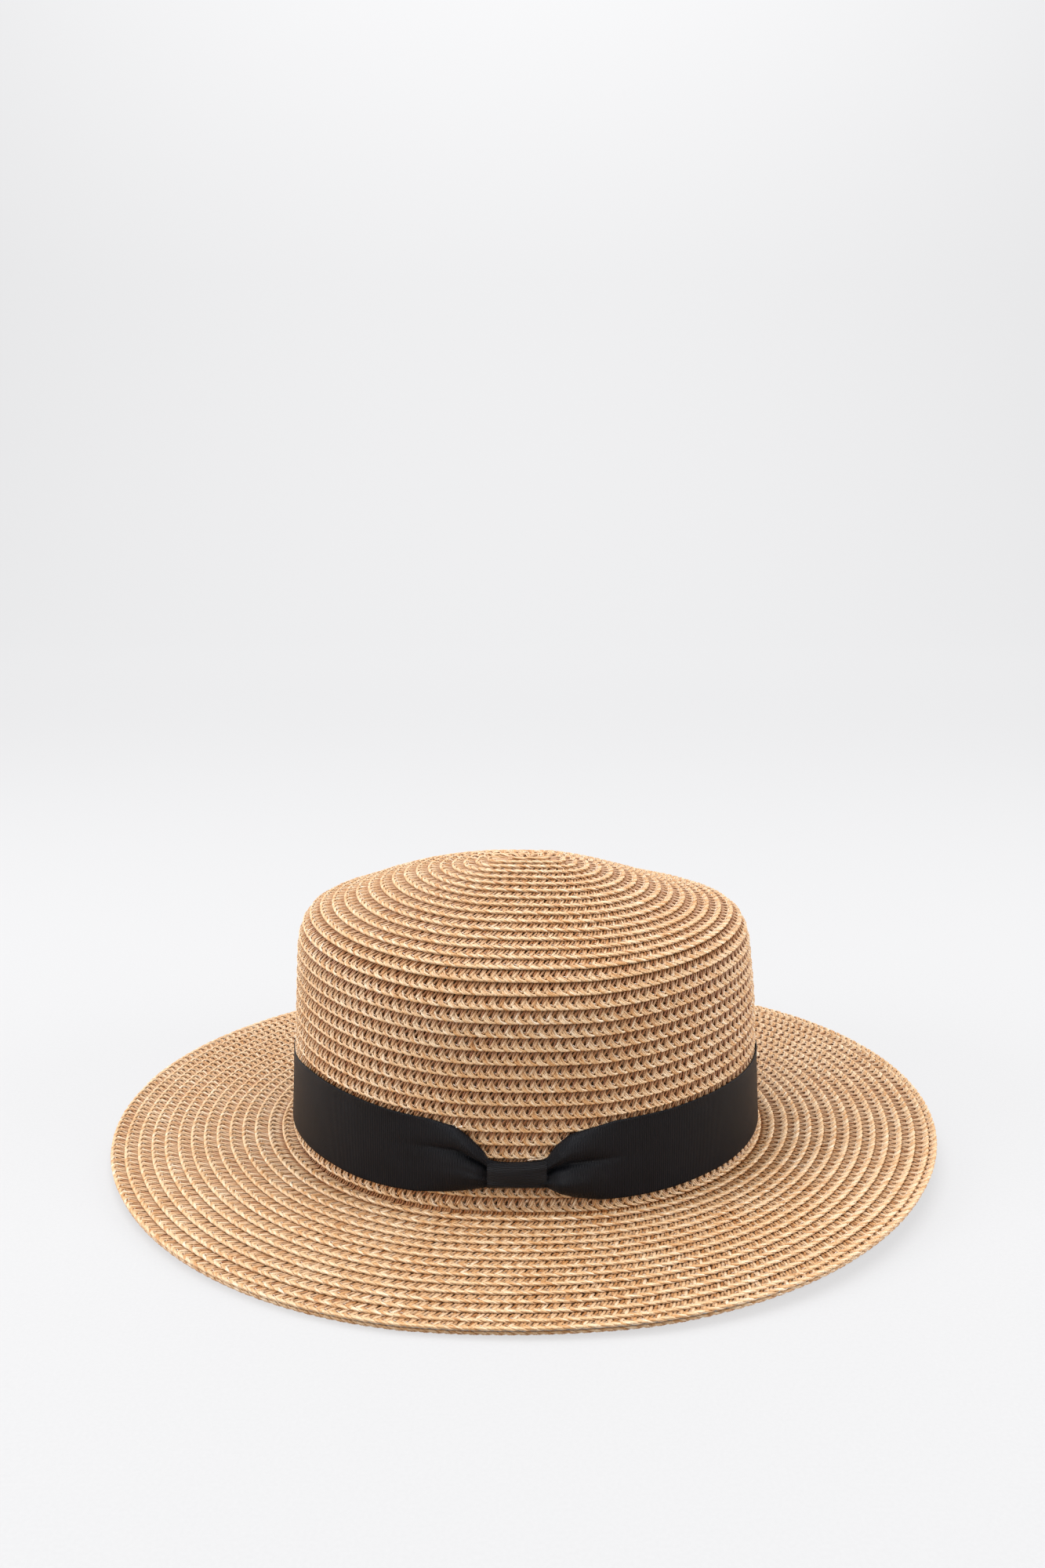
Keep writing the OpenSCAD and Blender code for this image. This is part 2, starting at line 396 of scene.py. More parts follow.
def place(T, x, n, q_of, half=HALF, drop=None):
    """Points from across (x mm inwards from the row's outer edge) and height n."""
    q_edge = q_of(T)
    if drop is not None:
        return drop(T, x, n)
    s_edge = (q_edge + Q_0) * ROW
    # the first turn of the spiral is gathered tight
    room = np.maximum(s_edge - 0.2, 0.4)
    x = np.where(x > 0.7 * room, 0.7 * room + 0.3 * room * (1 - np.exp(-(x - 0.7 * room) / (0.3 * room))), x)
    q = q_edge - x / ROW
    p, nv = frame_at(q, T)
    off = EDGE_N - row_tilt(q_edge) * x / ROW + n * row_lift(q_edge)
    # painted shade amount: darker where the cord tucks under the row before it and where it dips under a crossing
    # cord, weaker on the brim and on the tip
    under = smooth((x - 2.5) / 2.1) * (1 - 0.8 * smooth((x - 5.2) / 1.4))
    dip = 0.65 * smooth((0.10 - n) / 0.5) * (x < 5.2)
    pale = 1 - 0.50 * smooth((q_edge - 32.0) / 2.0) - 0.25 * (1 - smooth((q_edge - 12.5) / 3.0))
    return p + nv * off[:, None], nv, np.maximum(under, dip) * pale


def edge_turn(T, x, n):
    """The last turn, folded under the brim's edge: its outer ridge shows below the brim."""
    x = np.where(x > TUCK, TUCK + (x - TUCK) / TUCK_K, x)
    q_edge = np.full_like(T, Q_EDGE)
    p, nv = frame_at(q_edge, T)
    inwards = frame_at(q_edge - 0.5, T)[0] - p
    inwards /= np.linalg.norm(inwards, axis=1, keepdims=True)
    rise = p[:, 2] - (FOOT_Z + 0.87)
    P = p + inwards * (x * 0.80 + 0.75)[:, None]
    # it lies flat on whatever the hat stands on
    P[:, 2] = 1.22 - 0.48 * smooth(x / 3.0) + rise * (1 - x * 0.86 / BRIM_W) + n * 0.70
    P[:, 2] = np.maximum(P[:, 2], 0.36)
    up = np.zeros_like(P)
    up[:, 2] = 1
    # painted shade amount: darker inwards, under the brim, and where the cord dips under a crossing cord
    return P, up, np.maximum(smooth((x - 1.6) / 2.0), 0.7 * smooth((0.10 - n) / 0.5))


def make_mesh(name, V, F, attrs=None, smooth_faces=True):
    me = bpy.data.meshes.new(name)
    V = np.asarray(V, np.float32)
    F = np.asarray(F, np.int32)
    k = F.shape[1]
    me.vertices.add(len(V))
    me.vertices.foreach_set("co", V.reshape(-1))
    me.loops.add(F.size)
    me.loops.foreach_set("vertex_index", F.reshape(-1))
    me.polygons.add(len(F))
    me.polygons.foreach_set("loop_start", np.arange(0, F.size, k, dtype=np.int32))
    me.polygons.foreach_set("loop_total", np.full(len(F), k, dtype=np.int32))
    me.update(calc_edges=True)
    me.polygons.foreach_set("use_smooth", np.full(len(F), bool(smooth_faces)))
    for an, av in (attrs or {}).items():
        a = me.attributes.new(an, "FLOAT", "POINT")
        a.data.foreach_set("value", np.asarray(av, np.float32))
    me.validate()
    ob = bpy.data.objects.new(name, me)
    scene.collection.objects.link(ob)
    return ob


# ------------------------------------------------------------------ materials
def straw_material():
    m, nt, bsdf = new_mat("straw_cord")
    rd = node(nt, "ShaderNodeAttribute", attribute_name="rnd")
    painted_shade = node(nt, "ShaderNodeAttribute", attribute_name="painted_shade")
    geo = node(nt, "ShaderNodeTexCoord")
    # slow patches over the hat
    patch = node(nt, "ShaderNodeTexNoise", in_Scale=45.0, in_Detail=3.0)
    nt.links.new(geo.outputs["Object"], patch.inputs["Vector"])
    # streaks a few millimetres long, where the dye took differently
    streak = node(nt, "ShaderNodeTexNoise", in_Scale=420.0, in_Detail=2.0)
    nt.links.new(geo.outputs["Object"], streak.inputs["Vector"])
    # fine fibres of the twisted paper
    fibre = node(nt, "ShaderNodeTexNoise", in_Scale=1900.0, in_Detail=3.0, in_Roughness=0.6)
    nt.links.new(geo.outputs["Object"], fibre.inputs["Vector"])
    shade = math_node(nt, "ADD", math_node(nt, "MULTIPLY", rd.outputs["Fac"], 0.60),
                      math_node(nt, "ADD", math_node(nt, "MULTIPLY", patch.outputs[0], 0.22),
                                math_node(nt, "MULTIPLY", streak.outputs[0], 0.22)))
    col = ramp(nt, shade, [(0.22, srgb(170, 112, 58)), (0.38, srgb(198, 149, 96)),
                           (0.52, srgb(214, 177, 134)), (0.68, srgb(226, 200, 166)), (0.86, srgb(240, 224, 203))])
    flecks = ramp(nt, fibre.outputs[0], [(0.30, (0.70, 0.60, 0.50, 1)), (0.48, (1, 1, 1, 1)), (0.75, (1.10, 1.09, 1.07, 1))])
    mul = nt.nodes.new("ShaderNodeMix")
    mul.data_type = "RGBA"
    mul.blend_type = "MULTIPLY"
    mul.inputs[0].default_value = 0.85
    nt.links.new(col, mul.inputs[6])
    nt.links.new(flecks, mul.inputs[7])
    # painted shade: the colour is multiplied towards dark brown by the vertex attribute where the cord tucks under
    # the row before it, dips under crossing cords and passes the stitch holes
    deep = nt.nodes.new("ShaderNodeMix")
    deep.data_type = "RGBA"
    deep.blend_type = "MULTIPLY"
    nt.links.new(painted_shade.outputs["Fac"], deep.inputs[0])
    nt.links.new(mul.outputs[2], deep.inputs[6])
    deep.inputs[7].default_value = (0.40, 0.20, 0.060, 1)
    nt.links.new(deep.outputs[2], bsdf.inputs["Base Color"])
    rough = math_node(nt, "ADD", math_node(nt, "MULTIPLY", fibre.outputs[0], 0.22), 0.30)
    nt.links.new(rough, bsdf.inputs["Roughness"])
    bsdf.inputs["Specular IOR Level"].default_value = 0.60
    bump = node(nt, "ShaderNodeBump", in_Strength=0.45, in_Distance=0.0001)
    nt.links.new(fibre.outputs[0], bump.inputs["Height"])
    nt.links.new(bump.outputs[0], bsdf.inputs["Normal"])
    return m


STRAW = straw_material()

# ------------------------------------------------------------------ straw pieces
q_main = lambda T: spiral_q(T)
TRI_MAX = 185000


def straw_run(prefix, t0, t1, cad_node, q_of=q_main, last=False, **kw):
    tris = (np.interp(t1, TT, LL) - np.interp(t0, TT, LL)) / LAMBDA * 9 * len(kw.get("phases", PHASES)) * SIDES * 2
    parts = max(1, math.ceil(tris / TRI_MAX))
    l0, l1 = np.interp([t0, t1], TT, LL)
    cuts = np.interp(np.linspace(l0, l1, parts + 1), LL, TT)
    made = []
    for i in range(parts):
        V, F, at = build_braid(cuts[i], cuts[i + 1], q_of, last=last and i == parts - 1, **kw)
        ob = make_mesh(f"{prefix}_{i + 1}", V * MM, F, at)
        ob.data.materials.append(STRAW)
        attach(ob, "hat")
        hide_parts(cad_node)
        made.append(ob)
    return made


T_of_q = lambda q: 2 * PI * q - PI / 2
q_last = lambda T: np.minimum(spiral_q(T), Q_EDGE)
straw = []
straw += straw_run("straw_tip", T_START, T_of_q(15.0), "crown_tip")
straw += straw_run("straw_side", T_of_q(15.0), T_of_q(31.0), "crown_side")
straw += straw_run("straw_foot", T_of_q(31.0), T_of_q(33.0), "brim", phases=PHASES_FINE)
straw += straw_run("straw_brim", T_of_q(33.0), T_of_q(Q_EDGE + 0.93), "brim", q_of=q_last, last=True)
straw += straw_run("straw_edge", T_of_q(Q_EDGE - 0.03), T_of_q(Q_EDGE + 0.98), "brim_edge_row", drop=edge_turn, last=True)


# ------------------------------------------------------------------ stitching of the rows
def thread_material():
    m, nt, bsdf = new_mat("nylon_thread")
    tc = node(nt, "ShaderNodeTexCoord")
    nz = node(nt, "ShaderNodeTexNoise", in_Scale=700.0, in_Detail=1.0)
    nt.links.new(tc.outputs["Object"], nz.inputs["Vector"])
    col = ramp(nt, nz.outputs[0], [(0.42, srgb(186, 146, 100)), (0.66, srgb(246, 238, 226))])
    nt.links.new(col, bsdf.inputs["Base Color"])
    bsdf.inputs["Roughness"].default_value = 0.16
    bsdf.inputs["Specular IOR Level"].default_value = 0.7
    return m


THREAD = thread_material()


def thread_run(name, t0, t1, q_of, last=False):
    """The clear thread that sews each row on the one before: a short stitch on top, a long one underneath."""
    l0, l1 = np.interp([t0, t1], TT, LL)
    k = np.arange(math.ceil(l0 / PERIOD), math.ceil(l1 / PERIOD) + (0 if last else 1))
    ph = np.array([0.0, 0.13, 0.30, 0.42, 0.52, 0.90])
    y = ((k[:, None] + ph[None, :]) * PERIOD + 1.2).reshape(-1)
    up = np.tile(np.array([-0.2, 1.0, 1.0, 0.1, -1.0, -1.0]), len(k))
    kk = np.repeat(k, len(ph))
    jit = hash01(kk, 11.0)
    x = 1.55 + 0.35 * np.tile(np.array([0.6, 0.3, -0.5, -0.6, -0.2, 0.4]), len(k)) + 0.3 * (jit - 0.5)
    ok = (y > l0 + 0.5) & (y < l1 + (0 if last else PERIOD))
    y, up, x, jit = y[ok], up[ok], x[ok], jit[ok]
    T = np.interp(y + 0.3 * (jit - 0.5), LL, TT)
    q_edge = q_of(T)
    p, nv = frame_at(q_edge - x / ROW, T)
    base = EDGE_N - row_tilt(q_edge) * x / ROW
    top = base + 0.22 + (LIFT + CORD_B) * row_lift(q_edge) + 0.12 * (jit - 0.5) - 0.16 * smooth((q_edge - 31) / 2)
    bottom = base - row_tilt(q_edge) - (LIFT + CORD_B) * row_lift(q_edge) + 0.10
    off = np.where(up > 0, up * top + (1 - up) * base, -up * bottom + (1 + up) * base)
    P = p + nv * off[:, None]
    V, F = tube(P, nv, 0.105, 0.10, 3)
    ob = make_mesh(name, V * MM, F)
    ob.data.materials.append(THREAD)
    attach(ob, "hat")
    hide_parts("seam_thread")
    return ob


stitches = [
    thread_run("seam_tip", T_of_q(-1.2), T_of_q(15.0), q_main),
    thread_run("seam_side", T_of_q(15.0), T_of_q(31.0), q_main),
    thread_run("seam_brim_inner", T_of_q(31.0), T_of_q(39.0), q_main),
    thread_run("seam_brim_outer", T_of_q(39.0), T_of_q(Q_EDGE + 0.9), q_last, last=True),
]


# ------------------------------------------------------------------ wire in the edge
def ring_tube(name, points, radius, sides, mat, node_name, body="hat"):
    P = np.asarray(points)
    n = len(P)
    tang = np.roll(P, -1, 0) - np.roll(P, 1, 0)
    tang /= np.linalg.norm(tang, axis=1, keepdims=True)
    up = np.array([0, 0, 1.0])
    side = np.cross(tang, up)
    side /= np.linalg.norm(side, axis=1, keepdims=True)
    u2 = np.cross(side, tang)
    a = 2 * PI * np.arange(sides) / sides
    V = (P[:, None] + radius * (side[:, None] * np.cos(a)[None, :, None] + u2[:, None] * np.sin(a)[None, :, None])).reshape(-1, 3)
    i = np.arange(n)[:, None]
    j = np.arange(sides)[None, :]
    F = np.stack([i * sides + j, i * sides + (j + 1) % sides, ((i + 1) % n) * sides + (j + 1) % sides, ((i + 1) % n) * sides + j], -1).reshape(-1, 4)
    ob = make_mesh(name, V * MM, F)
    ob.data.materials.append(mat)
    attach(ob, body)
    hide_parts(node_name)
    return ob


def metal_material(name, colour, rough):
    m, nt, bsdf = new_mat(name)
    tc = node(nt, "ShaderNodeTexCoord")
    nz = node(nt, "ShaderNodeTexNoise", in_Scale=420.0, in_Detail=3.0)
    nt.links.new(tc.outputs["Object"], nz.inputs["Vector"])
    col = ramp(nt, nz.outputs[0], [(0.3, tuple(v * 0.72 for v in colour[:3]) + (1,)), (0.65, colour)])
    nt.links.new(col, bsdf.inputs["Base Color"])
    bsdf.inputs["Metallic"].default_value = 1.0
    r = math_node(nt, "ADD", math_node(nt, "MULTIPLY", nz.outputs[0], 0.2), rough)
    nt.links.new(r, bsdf.inputs["Roughness"])
    return m


WIRE = metal_material("edge_wire_steel", srgb(176, 178, 182), 0.25)
SLEEVE = metal_material("sleeve_brass", srgb(190, 168, 112), 0.3)


def rim_point(T, inset=1.5, z_under=2.15):
    q = np.full_like(T, Q_EDGE)
    p, nv = frame_at(q, T)
    inwards = frame_at(q - 0.5, T)[0] - p
    inwards /= np.linalg.norm(inwards, axis=1, keepdims=True)
    P = p + inwards * inset
    P[:, 2] = p[:, 2] - z_under
    return P


TR = np.linspace(0, 2 * PI, 361)[:-1]
ring_tube("rim_wire", rim_point(TR), 0.45, 8, WIRE, "edge_wire")


def sleeve_piece():
    T = PI / 2 + np.linspace(-1, 1, 21) * 7.0 / 159.0
    P = rim_point(T)
    r = 0.80 + 0.08 * np.cos(np.linspace(-1, 1, 21) * PI * 3)   # crimped in three places
    r[[0, -1]] = 0.50
    V, F = tube(P, np.tile([0, 0, 1.0], (21, 1)), r, r, 12)
    ob = make_mesh("rim_wire_sleeve", V * MM, F)
    ob.data.materials.append(SLEEVE)
    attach(ob, "hat")
    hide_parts("wire_sleeve")
    return ob


sleeve_piece()


# ------------------------------------------------------------------ cloth on the crown's side
def side_point(T, h, off):
    """Point at height h above the crown's foot, off mm outside the outer face."""
    ct, st = np.cos(T), np.sin(T)
    w2 = st * st
    z = FOOT_Z + h
    rf = np.interp(-z, -ZF, RF)
    rs = np.interp(-z, -ZS, RS)
    r = rf * w2 + rs * (1 - w2)
    k = np.clip(5 * ct, -1, 1)
    x = (r + off) * ct + CX * k + sway(T, z)
    y = (r + off) * st
    return np.stack([x, y, z + off * 0.05], -1)


def angle_of_x(xs, h=18.0):
    """Angle on the front half for a given x."""
    T = np.linspace(-PI, 0, 4001)
    X = side_point(T, np.full_like(T, h), np.zeros_like(T))[:, 0]
    return np.interp(xs, X, T)


def grid_faces(n, m, wrap_n=False, wrap_m=False):
    i = np.arange(n if wrap_n else n - 1)[:, None]
    j = np.arange(m if wrap_m else m - 1)[None, :]
    i2, j2 = (i + 1) % n, (j + 1) % m
    return np.stack([i * m + j, i2 * m + j, i2 * m + j2, i * m + j2], -1).reshape(-1, 4)


def shell(name, front, back, attrs, mat, body, cad_node, wrap):
    """A closed thin cloth from two grids of points [along, across]; wrap closes it along."""
    n, m = front.shape[:2]
    loop = np.concatenate([front, back[:, ::-1]], axis=1)      # round the cloth's section
    V = loop.reshape(-1, 3)
    F = grid_faces(n, 2 * m, wrap_n=wrap, wrap_m=True)
    if not wrap:
        caps = []
        for e in (0, n - 1):
            for j in range(m - 1):
                a, b = e * 2 * m + j, e * 2 * m + j + 1
                c, d = e * 2 * m + 2 * m - 2 - j, e * 2 * m + 2 * m - 1 - j
                caps.append((a, d, c, b) if e == 0 else (a, b, c, d))
        F = np.concatenate([F, np.array(caps)])
    at = {k: np.concatenate([v, v[:, ::-1]], axis=1).reshape(-1) for k, v in attrs.items()}
    ob = make_mesh(name, V * MM, F, at)
    ob.data.materials.append(mat)
    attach(ob, body)
    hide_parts(cad_node)
    return ob


def ribbed_material(name, dark, light, pitch, bump_mm, rough, sheen, along="len", spec=0.35):
    """Grosgrain: ribs across the tape, with the fine yarns between them."""
    m, nt, bsdf = new_mat(name)
    a = node(nt, "ShaderNodeAttribute", attribute_name=along)
    b = node(nt, "ShaderNodeAttribute", attribute_name="wid")
    ph = math_node(nt, "MULTIPLY", a.outputs["Fac"], 2 * PI / pitch)
    rib = math_node(nt, "ADD", math_node(nt, "MULTIPLY", math_node(nt, "SINE", ph), 0.5), 0.5)
    yarn = math_node(nt, "ADD", math_node(nt, "MULTIPLY", math_node(nt, "SINE", math_node(nt, "MULTIPLY", b.outputs["Fac"], 2 * PI / 0.22)), 0.5), 0.5)
    tc = node(nt, "ShaderNodeTexCoord")
    nz = node(nt, "ShaderNodeTexNoise", in_Scale=90.0, in_Detail=3.0)
    nt.links.new(tc.outputs["Object"], nz.inputs["Vector"])
    # the colour is lighter on each rib's top and darker in the grooves, in step with the bump: painted light and
    # shade; the noise adds random tone
    f = math_node(nt, "ADD", math_node(nt, "MULTIPLY", rib, 0.55), math_node(nt, "MULTIPLY", nz.outputs[0], 0.45))
    col = ramp(nt, f, [(0.2, dark), (0.85, light)])
    nt.links.new(col, bsdf.inputs["Base Color"])
    h = math_node(nt, "ADD", rib, math_node(nt, "MULTIPLY", yarn, 0.22))
    bump = node(nt, "ShaderNodeBump", in_Strength=0.7, in_Distance=bump_mm * MM)
    nt.links.new(h, bump.inputs["Height"])
    nt.links.new(bump.outputs[0], bsdf.inputs["Normal"])
    r = math_node(nt, "ADD", math_node(nt, "MULTIPLY", rib, -0.10), rough)
    nt.links.new(r, bsdf.inputs["Roughness"])
    bsdf.inputs["Sheen Weight"].default_value = sheen
    bsdf.inputs["Sheen Roughness"].default_value = 0.45
    bsdf.inputs["Specular IOR Level"].default_value = spec
    return m


RIBBON = ribbed_material("ribbon_grosgrain", (0.0010, 0.0011, 0.0017, 1), (0.0066, 0.0074, 0.0112, 1), 0.57, 0.20, 0.47, 0.015, spec=0.13)
KNOT = ribbed_material("ribbon_knot_grosgrain", (0.0010, 0.0011, 0.0017, 1), (0.0072, 0.0080, 0.0120, 1), 0.60, 0.20, 0.47, 0.02, along="rib", spec=0.20)

# The ribbon's edges, seen from the front: x and height above the crown's foot.
TOP_L = np.array([(-95.6, 34.4), (-85.8, 36.6), (-74.7, 36.4), (-62.4, 35.6), (-50.8, 34.6), (-34.5, 33.8), (-25, 31.8), (-19.9, 28), (-14.7, 22.8), (-12.8, 19.6), (-9.5, 19.0)])
BOT_L = np.array([(-91.8, 5.0), (-83.6, 5.0), (-75, 4.8), (-63, 4.2), (-51, 4.4), (-40, 5.0), (-29.6, 6.4), (-18.9, 8.0), (-12.8, 9.3), (-9.5, 9.6)])
TOP_R = np.array([(4.5, 19.0), (7.9, 19.8), (11.6, 25), (16.8, 29.2), (23.1, 31), (33.4, 33.2), (44.4, 33.7), (55.4, 33.9), (67, 34.4), (80, 34.6), (92, 34.2)])
BOT_R = np.array([(4.5, 9.6), (8.0, 9.4), (12.8, 6.8), (18.1, 5.0), (28.4, 3.4), (39, 3.0), (51, 2.8), (67, 3.0), (81, 2.9), (92, 3.2)])
TOP = np.concatenate([TOP_L, [(-2.6, 18.7)], TOP_R])
BOT = np.concatenate([BOT_L, [(-2.6, 9.8)], BOT_R])


def ribbon():
    back = np.linspace(0, PI, 170)[1:-1]
    front_T = angle_of_x(np.concatenate([np.linspace(-91, -42, 52), np.linspace(-41.4, 36.4, 200), np.linspace(37, 92, 56)]))
    front_T = np.concatenate([np.linspace(-PI, front_T[0], 24)[:-1], front_T, np.linspace(front_T[-1], 0, 24)[1:]])
    xs = side_point(front_T, np.full_like(front_T, 18.0), np.zeros_like(front_T))[:, 0]
    T = np.concatenate([front_T, back])
    n, m = len(T), 49
    v = np.linspace(0, 1, m)[None, :]
    # heights of the two edges, in the front from the outlines and level round the back
    xf = np.concatenate([xs, np.full(len(back), 0.0)])
    isf = np.concatenate([np.ones(len(xs), bool), np.zeros(len(back), bool)])
    ub = np.clip((back - back[0]) / (back[-1] - back[0]), 0, 1)
    hb = np.empty(n)
    ht = np.empty(n)
    hb[isf] = np.interp(xs, BOT[:, 0], BOT[:, 1])
    ht[isf] = np.interp(xs, TOP[:, 0], TOP[:, 1])
    hb[~isf] = 3.2 + (5.0 - 3.2) * ub + 0.5 * np.sin(ub * PI)
    ht[~isf] = 34.2 + (34.6 - 34.2) * ub + 0.4 * np.sin(ub * 2 * PI)
    k = np.exp(-0.5 * (np.arange(-3, 4) / 1.4) ** 2)
    sm = lambda a: np.convolve(np.pad(a, 3, mode="wrap"), k / k.sum(), mode="valid")
    hb, ht = sm(hb), sm(ht)
    hb, ht = hb[:, None], ht[:, None]
    # distance from the knot on each side
    dl = np.where(isf, -13.0 - xf, 99.0)[:, None]
    dr = np.where(isf, xf - 8.0, 99.0)[:, None]
    left = (xf < -2.6)[:, None]
    d = np.where(left, dl, dr)
    near = np.exp(-np.clip(d, 0, 99) / 11.0)
    # the crease that runs out of the knot, and a weaker one on each side of it
    vc = np.where(left, 0.66 - 0.05 * np.clip(d, 0, 30) / 30, 0.56 - 0.03 * np.clip(d, 0, 30) / 30)
    high = np.where(left, 3.3, 4.2)
    puff = high * np.exp(-((np.clip(d, 0, 99) - 5.0) / 13.0) ** 2)
    puff = np.where(d > 5, puff, high * (0.55 + 0.45 * smooth(np.clip(d, 0, 5) / 5)))
    lobe = np.where(v < vc, np.sin(PI * np.clip(v / vc, 0, 1)) ** 0.62, np.sin(PI * np.clip((v - vc) / (1 - vc), 0, 1)) ** 0.62)
    lobe_w = np.where(v < vc, np.where(left, 0.9, 1.12), np.where(left, 1.05, 0.95))
    off = puff * lobe * lobe_w
    # small gathers that fan out of the knot
    for c0, amp, wid, reach in ((0.20, 0.34, 0.055, 9.0), (0.40, 0.42, 0.05, 12.0), (0.82, 0.40, 0.05, 9.0), (0.92, 0.25, 0.04, 6.0)):
        off = off - amp * np.exp(-((v - c0) / wid) ** 2) * np.exp(-np.clip(d, 0, 99) / reach) * (d < 60)
    # deep shadow line of the crease
    off = off - 1.5 * near * np.exp(-((v - vc) / 0.045) ** 2)
    # the cloth rides a little off the crown and is not perfectly flat
    wave = 0.10 * np.sin(T * 9)[:, None] * np.sin(v * PI) + 0.07 * np.sin(T * 23 + 1)[:, None] * (v - 0.5)
    edge_lift = 0.25 * np.exp(-((1 - v) / 0.06) ** 2) * (0.5 + 0.5 * np.sin(T * 5)[:, None])
    off = 0.50 + off + wave + edge_lift
    off = np.maximum(off, 0.30)
    H = hb + (ht - hb) * v
    Tg = np.repeat(T[:, None], m, 1)
    outer = side_point(Tg, H, off)
    # right of the knot the lower lobe droops over its own edge
    droop = np.where(left, 0.25, 0.9) * near * np.sin(PI * np.clip(v / 0.6, 0, 1)) * (v < 0.6)
    outer[..., 2] -= droop
    inner = side_point(Tg, H, off - 0.42)
    inner[..., 2] -= droop
    mid = side_point(T, np.full(n, 18.0), np.full(n, 0.5))
    ln = np.concatenate([[0], np.cumsum(np.linalg.norm(np.diff(mid, axis=0), axis=1))])
    # the ribs follow the length round the band, so they do not meet at one point
    lng = np.repeat(ln[:, None], m, 1)
    wid = np.repeat(v * 31.5, n, 0)
    ob = shell("ribbon_band", outer, inner, {"len": lng, "wid": wid}, RIBBON, "hat", "hat_band", True)
    return ob


band = ribbon()


def knot():
    """The short piece of ribbon wrapped round the pinch, ribs along X."""
    x0, x1 = -13.3, 8.1
    nb = 41
    xs = np.linspace(x0, x1, nb)
    u = (xs - x0) / (x1 - x0) * 2 - 1
    ends = 1 - 0.10 * np.abs(u) ** 6
    top = 19.5 - 0.75 * (1 - u * u) + 0.25 * u
    bot = 9.2 + 0.25 * (1 - u * u)
    # section from the back's lower edge, round the front, to the back's upper edge
    a = np.linspace(-0.18 * PI, 1.18 * PI, 45)
    T = angle_of_x(xs, 14.0)
    out, inn = [], []
    for i in range(nb):
        c, r = (top[i] + bot[i]) / 2, (top[i] - bot[i]) / 2
        depth = (2.75 + 0.55 * (1 - u[i] ** 2)) * ends[i]
        for lst, shrink in ((out, 0.0), (inn, 0.55)):
            h = c - (r - shrink * 0.9) * np.sign(np.cos(a)) * np.abs(np.cos(a)) ** 0.62
            o = np.maximum((depth - shrink) * np.abs(np.sin(a)) ** 0.55 * np.sign(np.sin(a)), -0.35) + 0.15
            # soft folds along the wrap
            if shrink == 0.0:
                o = o + (0.10 * np.sin(a * 9 + u[i] * 1.5) + 0.12 * np.exp(-((a - 1.9) / 0.16) ** 2) - 0.14 * np.exp(-((a - 2.25) / 0.12) ** 2)) * (np.sin(a) > 0.3)
            lst.append(side_point(np.full(len(a), T[i]), h, o))
    out, inn = np.array(out), np.array(inn)
    seg = np.linalg.norm(np.diff(out, axis=1), axis=2)
    rib = np.concatenate([np.zeros((nb, 1)), np.cumsum(seg, axis=1)], axis=1)
    rib = np.repeat(rib.mean(0)[None], nb, 0)
    wid = np.repeat((xs - x0)[:, None], len(a), 1)
    ob = shell("bow_wrap", out, inn, {"rib": rib, "wid": wid}, KNOT, "hat", "bow_knot", False)
    return ob


knot()


def tacks():
    """Clear nylon tacks: short bent bars caught in the ribbon's edge."""
    V, F, base = [], [], 0
    front = lambda x, h, o: side_point(angle_of_x(np.array([x])), np.array([h]), np.array([o]))[0]
    bars = [
        [front(-24.9, 31.3, .2), front(-24.4, 31.9, .95), front(-22.6, 32.2, 1.10), front(-20.9, 32.3, 1.0), front(-20.4, 32.1, .3)],
        [front(1.4, 19.6, .2), front(2.4, 20.1, 0.9), front(4.2, 20.3, 1.05), front(6.2, 20.3, 0.95), front(7.3, 20.2, .2)],
    ]
    for Tc in (0.0, PI, PI / 2):
        dT = 2.1 / 88
        hh = 33.3
        ts = np.array([-1.0, -0.8, 0, 0.8, 1.0])
        oo = np.array([0.2, 0.95, 1.15, 0.95, 0.2])
        bars.append(list(side_point(Tc + ts * dT, np.full(5, hh), oo)))
    for b in bars:
        P = np.array(b)
        t = np.linspace(0, 4, 17)
        P = np.stack([np.interp(t, np.arange(5), P[:, i]) for i in range(3)], -1)
        v, f = tube(P, np.tile([0, 0.05, 1.0], (17, 1)), 0.24, 0.20, 8)
        V.append(v)
        F.append(f + base)
        base += len(v)
    ob = make_mesh("nylon_tacks", np.concatenate(V) * MM, np.concatenate(F))
    ob.data.materials.append(THREAD)
    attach(ob, "hat")
    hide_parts("band_tacks")


tacks()


# ------------------------------------------------------------------ inside
TAPE = ribbed_material("sweatband_weave", srgb(38, 38, 40), srgb(70, 70, 74), 0.9, 0.12, 0.75, 0.25)
STITCH = ribbed_material("sweatband_stitch", srgb(190, 190, 188), srgb(225, 225, 222), 0.35, 0.05, 0.6, 0.1)


